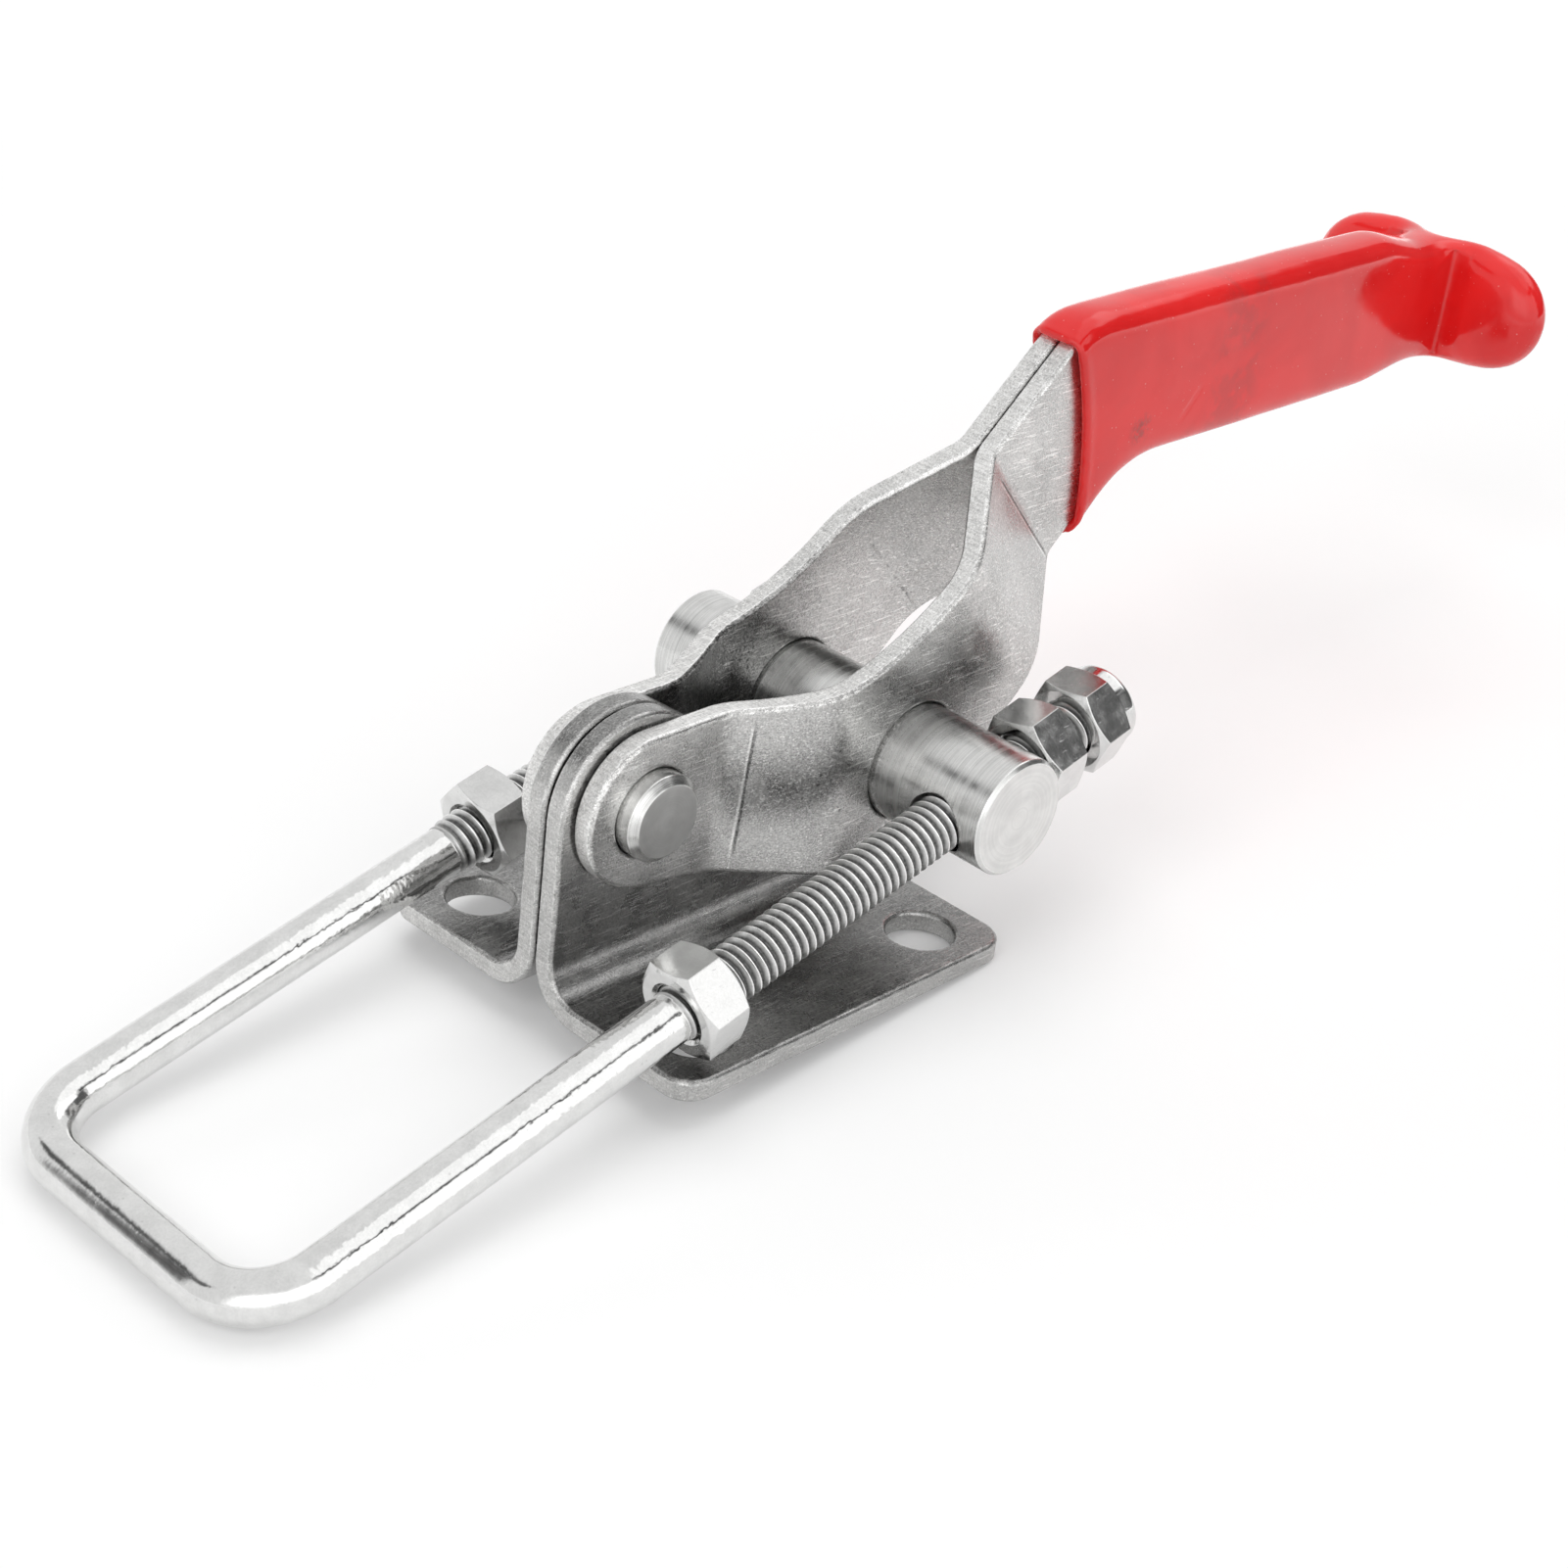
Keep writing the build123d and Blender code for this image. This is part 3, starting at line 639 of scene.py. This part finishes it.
def add_rod(bm):
    """Plain rod of the loop and the legs, slightly wavy."""
    line = loop_line()
    rings = []
    for point, direction in line:
        side = direction.cross(ABOVE_LEG)
        ring = []
        for k in range(ROD_SIDES):
            a = 2 * math.pi * k / ROD_SIDES
            out = side * math.cos(a) + ABOVE_LEG * math.sin(a)
            wave = sum(high * noise.noise((point + out * step) * scale) for step, scale, high in ROD_WAVES)
            ring.append(bm.verts.new(point + out * (ROD_RADIUS + wave - ROD_SUNK)))
        rings.append(ring)
    for a, b in zip(rings, rings[1:]):
        for k in range(ROD_SIDES):
            n = (k + 1) % ROD_SIDES
            bm.faces.new((a[k], a[n], b[n], b[k]))
    close_end(bm, rings[0], line[0][0])
    close_end(bm, rings[-1], line[-1][0])


def thread_radius(s, depth, start, end):
    """Radius at the distance s, run out of the rod at the start and chamfered at the end."""
    if s <= start:
        return ROD_RADIUS - THREAD_SUNK
    if s >= end:
        return THREAD_RADIUS - 2 * THREAD_CHAMFER
    full = clamped((s - start) / (RUN_OUT_TURNS * THREAD_PITCH))
    radius = (THREAD_RADIUS - depth) * full + (ROD_RADIUS + RUN_OUT_LIFT) * (1 - full)
    return max(min(radius, THREAD_RADIUS - THREAD_CHAMFER + end - s), THREAD_CORE)


def add_thread(bm, y, start, end):
    """Rolled thread of a leg, as one helical strip of as many rows a turn as the form has points."""
    n = len(THREAD_FORM)
    first = start - THREAD_PITCH
    turns = int((end - first) / THREAD_PITCH + 1) + 1
    rows = []
    for k in range(turns * n + 1):
        share, depth = THREAD_FORM[k % n]
        row = []
        for j in range(THREAD_SIDES):
            turn = j / THREAD_SIDES
            s = first + (k // n + share + turn) * THREAD_PITCH
            a = 2 * math.pi * turn
            out = Vector((0, math.cos(a), 0)) + ABOVE_LEG * math.sin(a)
            radius = thread_radius(s, depth, start, end)
            row.append(bm.verts.new(on_leg(clamped(s, start, end), y) + out * radius))
        rows.append(row)
    last = len(rows) - 1
    for k in range(last):
        for j in range(THREAD_SIDES - 1):
            bm.faces.new((rows[k][j], rows[k][j + 1], rows[k + 1][j + 1], rows[k + 1][j])).material_index = 1
        if k + n + 1 <= last:
            seam = (rows[k][-1], rows[k + n][0], rows[k + n + 1][0], rows[k + 1][-1])
            bm.faces.new(seam).material_index = 1
    close_end(bm, rows[0] + [rows[k][0] for k in range(n, 0, -1)], on_leg(start, y))
    close_end(bm, rows[last] + [rows[k][-1] for k in range(last - 1, last - n - 1, -1)], on_leg(end, y))


def add_u_bolt():
    """Bent rod and both threads as one piece."""
    bm = bmesh.new()
    add_rod(bm)
    for side, sign in (("left", -1), ("right", 1)):
        add_thread(bm, sign * LEG_SPACING / 2, -THREAD_FRONT[side], THREAD_REAR)
    bmesh.ops.remove_doubles(bm, verts=bm.verts, dist=1e-4)
    bmesh.ops.dissolve_degenerate(bm, edges=bm.edges, dist=1e-5)
    bmesh.ops.scale(bm, vec=(MM, MM, MM), verts=bm.verts)
    bmesh.ops.recalc_face_normals(bm, faces=bm.faces)
    item = mesh_object("u_bolt_threaded", bm)
    dress(item, rod_finish, thread_finish)
    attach(item, "u_bolt")
    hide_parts("u_bolt")


add_u_bolt()


# ---- Grip ----
# The CAD sleeve's inner skin lies closer to the plates than this, in millimetres.
INNER_SKIN = 0.45
VOXEL = 0.55
VOXEL_SMOOTHING, EDGE_ROUNDING = 6, 90
# Front of the sleeve: an arc from this (x, z) upwards, a rounded bead along it, and a lip that is
# drawn in to the plates. The rounding of the edges grows over the reach, from a small share.
MOUTH_LOW, MOUTH_ARC = Vector((65.4, 45.6)), 74.1
MOUTH_REACH, MOUTH_SHARE = 9.0, 0.1
BEAD_WIDTH, BEAD_HEIGHT = 1.5, 0.3
LIP_ANGLE = math.radians(35)
LIP_DEPTH, LIP_WIDTH, LIP_REACH = 1.5, 0.45, 1.2
LIP_SMOOTHING = 3
INWARD = Vector((math.cos(LIP_ANGLE), 0, math.sin(LIP_ANGLE)))
# Least vinyl over the plates, behind the lip.
SKIN = 0.35
# Crook between the sleeve and the T end, whose round corner of the CAD is drawn out: (x, y).
CROOK_CORNER, CROOK_RADIUS = (154.8, 4.8), 3.0
CROOK_SHARPNESS, CROOK_BAND = 0.75, 0.5
# Lobes of the T end, whose back is domed.
LOBE_START, LOBE_Y, LOBE_SIZE, LOBE_DOME, LOBE_BLEND = 6.0, 12.5, 10.0, 1.6, 3.0
# Unevenness of dipped vinyl: scale of the noise and height, in millimetres.
SWELLS = ((0.055, 0.12), (0.16, 0.03))


def metal_tree():
    """Both handle plates as one search tree."""
    plates = bmesh.new()
    for side in ("left", "right"):
        plates.from_mesh(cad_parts["handle_plate_" + side].data)
    tree = BVHTree.FromBMesh(plates)
    plates.free()
    return tree


def depth_outside(metal, point):
    """Distance from the plates, below 0 inside them, and the nearest point and its normal."""
    near, normal, _, _ = metal.find_nearest(point)
    return (point - near).dot(normal), near, normal


def behind_mouth(point):
    """Distance in millimetres behind the curved front of the sleeve."""
    rise = max(point.z / MM - MOUTH_LOW.y, 0.0)
    return point.x / MM - MOUTH_LOW.x + MOUTH_ARC - math.sqrt(MOUTH_ARC ** 2 - rise ** 2)


def mouth_share(metal, point):
    """1 in front of a plate's section, falling to 0 a lip's width outside it."""
    distance, _, _ = depth_outside(metal, point + INWARD * LIP_DEPTH * MM)
    return clamped(1 - distance / (LIP_WIDTH * MM))


def stretch_to(item, width):
    """Widens the T end, which the smoothing has shrunk, to the given half width."""
    start = LOBE_START * MM
    widen = (width - start) / (max(v.co.y for v in item.data.vertices) - start)
    for vertex in item.data.vertices:
        if abs(vertex.co.y) > start:
            vertex.co.y = math.copysign(start + (abs(vertex.co.y) - start) * widen, vertex.co.y)


def drawn_corner(point):
    """Where a point of the crook's round corner lies on a crisper one, or None for other points."""
    centre = Vector((CROOK_CORNER[0] - CROOK_RADIUS, CROOK_CORNER[1] + CROOK_RADIUS))
    across = Vector((point.x / MM - centre.x, centre.y - abs(point.y) / MM))
    if min(across) <= 0 or abs(across.length - CROOK_RADIUS) >= CROOK_BAND:
        return None
    move = across * (CROOK_RADIUS / max(across) - 1) * CROOK_SHARPNESS
    return point + Vector((move.x, -math.copysign(move.y, point.y), 0)) * MM


def dome(place, middle):
    """Height of a lobe's dome at a place of its back, whose middle is at this height."""
    side = (abs(place.y) - LOBE_Y * MM) / (LOBE_SIZE * MM)
    rise = (place.z - middle) / (LOBE_SIZE * MM)
    inner = clamped((abs(place.y) / MM - LOBE_START) / LOBE_BLEND)
    return LOBE_DOME * MM * max(1 - side * side - rise * rise, 0.0) * inner


def round_off(item):
    """Rounds the outer edges behind the mouth, keeps the crook crisp, and domes the lobes."""
    before = [v.co.copy() for v in item.data.vertices]
    facing = [v.normal.copy() for v in item.data.vertices]
    apply_modifiers(item, ("SMOOTH", {"factor": 0.5, "iterations": EDGE_ROUNDING}))
    stretch_to(item, max(point.y for point in before))
    lobe = [point.z for point in before if abs(point.y) > LOBE_Y * MM]
    middle = sum(lobe) / len(lobe)
    for vertex, old, normal in zip(item.data.vertices, before, facing):
        corner = drawn_corner(old)
        behind = behind_mouth(old)
        if corner is not None:
            place = corner
        elif (vertex.co - old).dot(normal) > 0:
            place = old
        else:
            place = old.lerp(vertex.co, clamped(behind / MOUTH_REACH, MOUTH_SHARE, 1.0))
        if 0 < behind < BEAD_WIDTH:
            bead = BEAD_HEIGHT * math.sin(math.pi * behind / BEAD_WIDTH) * (1 - normal.x ** 2)
            place = place + normal * bead * MM
        if normal.x < -0.3:
            place = place - Vector((dome(place, middle), 0, 0))
        vertex.co = place


def sleeve(metal):
    """Outside of the CAD sleeve, closed, remeshed and lightly smoothed."""
    bm = bmesh.new()
    bm.from_mesh(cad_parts["grip"].data)
    bmesh.ops.remove_doubles(bm, verts=bm.verts, dist=1e-6)
    inner = []
    for face in bm.faces:
        near, _, _, _ = metal.find_nearest(face.calc_center_median(), INNER_SKIN * MM)
        if near is not None:
            inner.append(face)
    bmesh.ops.delete(bm, geom=inner, context="FACES")
    bmesh.ops.holes_fill(bm, edges=[e for e in bm.edges if e.is_boundary], sides=0)
    bmesh.ops.triangulate(bm, faces=[f for f in bm.faces if len(f.verts) > 3])
    bmesh.ops.recalc_face_normals(bm, faces=bm.faces)
    item = mesh_object("grip_vinyl", bm)
    apply_modifiers(
        item,
        ("REMESH", {"mode": "VOXEL", "voxel_size": VOXEL * MM}),
        ("SMOOTH", {"factor": 0.5, "iterations": VOXEL_SMOOTHING}),
    )
    return item


def draw_in_lip(bm, metal):
    """Draws the mouth in to the plates, keeps a skin over them, and returns the lip's vertices."""
    lip = set()
    for v in bm.verts:
        behind = behind_mouth(v.co)
        if behind < LIP_REACH and v.normal.dot(INWARD) < -0.4:
            lip.add(v)
            v.co += INWARD * LIP_DEPTH * MM * mouth_share(metal, v.co)
        elif behind > LIP_REACH:
            distance, near, normal = depth_outside(metal, v.co)
            if distance < SKIN * MM:
                v.co = near + normal * SKIN * MM
    for _ in range(LIP_SMOOTHING):
        lip |= {e.other_vert(v) for v in lip for e in v.link_edges}
    axes = {"use_axis_x": True, "use_axis_y": True, "use_axis_z": True}
    for _ in range(LIP_SMOOTHING):
        bmesh.ops.smooth_vert(bm, verts=list(lip), factor=0.4, **axes)
    bm.normal_update()
    return lip


def add_grip():
    """Dipped sleeve whose vinyl flows round its corners, and which stays in the CAD sleeve's box."""
    metal = metal_tree()
    item = sleeve(metal)
    round_off(item)
    bm = bmesh.new()
    bm.from_mesh(item.data)
    lip = draw_in_lip(bm, metal)
    low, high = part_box("grip")
    for v in bm.verts:
        if v not in lip:
            swell = sum(noise.noise(v.co / MM * scale) * height for scale, height in SWELLS)
            v.co += v.normal * swell * MM
        v.co = [clamped(*limits) for limits in zip(v.co, low, high)]
    bm.to_mesh(item.data)
    bm.free()
    shade_smooth(item)
    dress(item, vinyl_finish)
    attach(item, "handle")
    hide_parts("grip")


add_grip()


# ---- Camera at the photograph's view ----
AZIMUTH, ELEVATION, ROLL = (math.radians(angle) for angle in (-48.96, 28.30, 7.17))
FOCAL_PIXELS, FRAME_PIXELS = 2950.0, 1601.0
CAMERA_PLACE = Vector((-251.8, -231.2, 208.8)) * MM
SENSOR_WIDTH = 36.0


def add_camera():
    look = Vector((
        -math.sin(AZIMUTH) * math.cos(ELEVATION),
        math.cos(AZIMUTH) * math.cos(ELEVATION),
        -math.sin(ELEVATION),
    ))
    right = Vector((math.cos(AZIMUTH), math.sin(AZIMUTH), 0))
    up = right.cross(look)
    rolled_right = right * math.cos(ROLL) + up * math.sin(ROLL)
    rolled_up = up * math.cos(ROLL) - right * math.sin(ROLL)
    data = bpy.data.cameras.new("camera")
    data.sensor_width = SENSOR_WIDTH
    data.lens = SENSOR_WIDTH * FOCAL_PIXELS / FRAME_PIXELS
    data.clip_start, data.clip_end = 0.01, 20.0
    camera = bpy.data.objects.new("camera", data)
    bpy.context.scene.collection.objects.link(camera)
    turn = Matrix((rolled_right, rolled_up, -look)).transposed()
    camera.matrix_world = Matrix.Translation(CAMERA_PLACE) @ turn.to_4x4()
    bpy.context.scene.camera = camera


add_camera()


# ---- Floor, card, world and lamps ----
# The latch rests on the hook bar and on the rear edge of the base: (x, z) in millimetres.
REST_FRONT = Vector((-94.0, -9.3))
REST_REAR = Vector((31.3, 0.0))
FLOOR_GAP = 0.05
FLOOR_RADIUS, FLOOR_CORNERS = 1.6, 96
# Share of white that the floor reflects, and what it glows to the camera and in mirrors: little
# under the latch, and white from the far one of these distances on, in millimetres.
FLOOR_TONE, FLOOR_GLOW = 0.82, 0.18
FADE = (320.0, 900.0)

CARD_PLACE = Vector((-195, 82, 54))
CARD_HALF_HEIGHT, CARD_HALF_WIDTH = 72, 34
CARD_COMPASS = 138.0
CARD_TONES = (0.1, 0.24)
# Shares of the card's half height and half width within which it is solid.
CARD_SOLID = {"X": 0.4, "Y": 0.2}

# Strength of the world on matt surfaces, and in mirrors outside the panels.
AMBIENT, ROOM = 0.5, 0.90
# What the metal mirrors besides the room: name, compass direction, half width, lowest and
# highest elevation, in degrees, strength, and softness of the border.
PANELS = (
    ("overhead softbox", -30, 70, 53, 88, 1.3, 1.5),
    ("gap below it", -72, 26, 44, 51, 0.05, 1.5),
    ("side softbox", -91, 31, 0, 43, 1.45, 1.5),
    ("softbox by the camera", -146, 24, 2, 40, 2.0, 9.0),
    ("dark corner on the right", -27, 32, -3, 43, 0.12, 2.0),
    ("gap on the left", 132, 24, 33, 43, 0.1, 3.0),
    ("high light behind", -5, 33, 38, 54, 1.8, 3.0),
)

# Softboxes for the matt surfaces and the shadow: name, place, width and height in metres, watts.
LAMPS = (
    ("top_box", (0.1, 0.1, 1.1), 0.9, 0.9, 4.0),
    ("left_box", (-0.2, -1.0, 0.75), 0.7, 0.5, 1.7),
    ("front_box", (-0.95, -0.2, 0.8), 0.6, 0.6, 3.0),
    ("right_box", (0.95, -0.45, 0.7), 0.35, 0.8, 1.5),
    ("back_box", (0.3, 1.0, 0.6), 0.8, 0.4, 1.5),
)
LAMP_AIM = Vector((0.03, 0, 0.03))


def add_floor():
    """Pale table top under the hook bar and the rear edge of the base."""
    lean = math.atan2(REST_REAR.y - REST_FRONT.y, REST_REAR.x - REST_FRONT.x)
    bm = bmesh.new()
    bmesh.ops.create_circle(bm, cap_ends=True, segments=FLOOR_CORNERS, radius=FLOOR_RADIUS)
    item = mesh_object("floor", bm)
    place = Vector((REST_REAR.x, 0, REST_REAR.y - FLOOR_GAP)) * MM
    item.matrix_world = Matrix.Translation(place) @ Matrix.Rotation(-lean, 4, "Y")
    s = Shader("floor")
    diffuse = s.node("ShaderNodeBsdfDiffuse", {"Color": grey(FLOOR_TONE)}).outputs[0]
    away = s.node("ShaderNodeVectorMath", {0: s.position()}, operation="LENGTH").outputs["Value"]
    strength = s.times(s.seen_or_mirrored(), s.ramp(away, *FADE, FLOOR_GLOW, 1.0))
    glow = s.node("ShaderNodeEmission", {"Strength": strength}).outputs[0]
    s.show(s.node("ShaderNodeAddShader", {0: diffuse, 1: glow}))
    dress(item, s.material)


def add_card():
    """Dark card with faded borders beside the table, which the hook bar mirrors as its dark band."""
    bm = bmesh.new()
    bmesh.ops.create_grid(bm, x_segments=1, y_segments=1, size=1)
    item = mesh_object("black_card", bm)
    item.matrix_world = (
        Matrix.Translation(CARD_PLACE * MM)
        @ Matrix.Rotation(math.radians(CARD_COMPASS), 4, "Z")
        @ Matrix.Rotation(math.radians(90), 4, "Y")
        @ Matrix.Diagonal((CARD_HALF_HEIGHT * MM, CARD_HALF_WIDTH * MM, 1, 1))
    )
    s = Shader("black_card")
    cloud = s.spread(s.noise(s.position(), 0.003), 0.0, 1.0)
    diffuse = s.node("ShaderNodeBsdfDiffuse", {"Color": s.mix(cloud, *map(grey, CARD_TONES))}).outputs[0]
    clear = s.node("ShaderNodeBsdfTransparent").outputs[0]
    spot = s.parts(s.position())
    solid = s.times(*(s.ramp(s.size(spot[axis]), 1 / MM, share / MM) for axis, share in CARD_SOLID.items()))
    s.show(s.node("ShaderNodeMixShader", {0: solid, 1: clear, 2: diffuse}))
    dress(item, s.material)
    item.visible_camera = False
    item.visible_shadow = False
    item.visible_diffuse = False


def add_world():
    """White to the camera, an even light on matt surfaces, and a room with panels to mirrors."""
    world = bpy.data.worlds.new("studio")
    bpy.context.scene.world = world
    s = Shader("studio", world)
    way = s.parts(s.node("ShaderNodeTexCoord").outputs["Generated"])
    compass = s.math("ARCTAN2", way["Y"], way["X"])
    elevation = s.math("ARCSINE", way["Z"])
    mirrored = ROOM
    for _, azimuth, half_width, low, high, strength, soft in PANELS:
        turned = s.minus(compass, math.radians(azimuth))
        across = s.size(s.math("WRAP", turned, math.pi, -math.pi))
        inside = s.times(
            s.ramp(across, math.radians(half_width + soft), math.radians(half_width - soft)),
            s.ramp(elevation, math.radians(low - soft), math.radians(low + soft)),
            s.ramp(elevation, math.radians(high + soft), math.radians(high - soft)),
        )
        mirrored = s.blend(inside, mirrored, strength)
    rays = s.node("ShaderNodeLightPath").outputs
    plain = s.math("MAXIMUM", rays["Is Camera Ray"], rays["Is Transmission Ray"])
    strength = s.blend(plain, s.blend(rays["Is Glossy Ray"], AMBIENT, mirrored), 1.0)
    s.show(s.node("ShaderNodeBackground", {"Color": grey(1.0), "Strength": strength}))


def add_lamp(name, place, width, height, watts):
    """Softbox that is not seen in mirrors, where the panels of the world stand for it."""
    data = bpy.data.lights.new(name, "AREA")
    data.energy = watts
    data.shape = "RECTANGLE"
    data.size, data.size_y = width, height
    item = bpy.data.objects.new(name, data)
    bpy.context.scene.collection.objects.link(item)
    item.location = place
    item.visible_glossy = False
    item.rotation_mode = "QUATERNION"
    item.rotation_quaternion = (LAMP_AIM - Vector(place)).to_track_quat("-Z", "Y")


add_floor()
add_card()
add_world()
for lamp in LAMPS:
    add_lamp(*lamp)

scene = bpy.context.scene
scene.view_settings.view_transform = "Standard"
